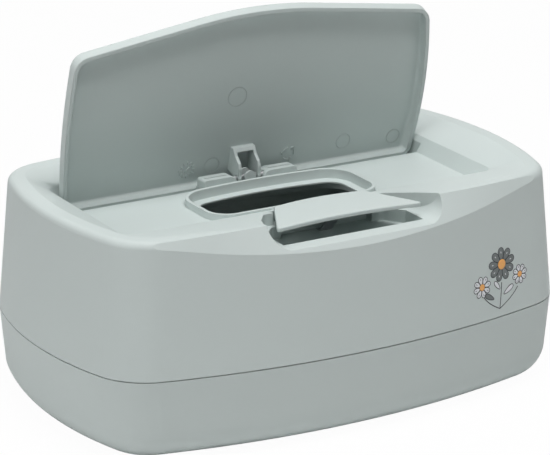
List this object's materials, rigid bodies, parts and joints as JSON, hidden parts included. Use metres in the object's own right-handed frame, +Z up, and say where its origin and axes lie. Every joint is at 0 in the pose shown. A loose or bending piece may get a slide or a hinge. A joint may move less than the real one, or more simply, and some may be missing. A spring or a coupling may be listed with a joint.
{
  "type": "baby wipes box",
  "caption": "Bowed plastic box for baby wipes: a tub, a lift-off shell with a dispensing opening, a hinged spring lid and a press tab over a finger scoop.",
  "frame": {"origin": "middle of the plan on the underside of the tub, where it rests on a table; the widest line of the sides is at Y = 0", "axes": "+X to the right along the long side, -Y the front with the finger scoop, +Z up"},
  "size_m": [0.2394, 0.1514, 0.1665],
  "materials": {
    "tub_plastic": "satin moulded, fine grain",
    "shell_plastic": "satin moulded, fine grain",
    "lid_plastic": "satin moulded, fine grain",
    "tab_plastic": "satin moulded, smooth",
    "pin_steel": "drawn wire",
    "silicone": "matt silicone",
    "spring_steel": "rolled strip"
  },
  "bodies": {
    "tub": {"base_tub": "tub_plastic"},
    "shell": {"upper_shell": "shell_plastic", "hinge_pin": "pin_steel", "lid_spring": "silicone", "tab_pin": "pin_steel", "tab_spring": "spring_steel"},
    "lid": {"lid": "lid_plastic"},
    "tab": {"press_tab": "tab_plastic"}
  },
  "joints": [
    {"name": "shell_lift", "type": "slide", "parent": "tub", "child": "shell", "axis": [0, 0, 1], "range_m": [0, 0.08]},
    {"name": "lid_hinge", "type": "hinge", "parent": "shell", "child": "lid", "pos_m": [0, 0.02545, 0.08665], "axis": [1, 0, 0], "range_deg": [0, 74], "stiffness_Nm_per_rad": 0.03, "springref_deg": -17.19},
    {"name": "tab_press", "type": "hinge", "parent": "shell", "child": "tab", "pos_m": [0, -0.0446, 0.09], "axis": [1, 0, 0], "range_deg": [0, 7], "stiffness_Nm_per_rad": 0.2, "springref_deg": -5.73, "deforming": ["tab_spring"]}
  ]
}
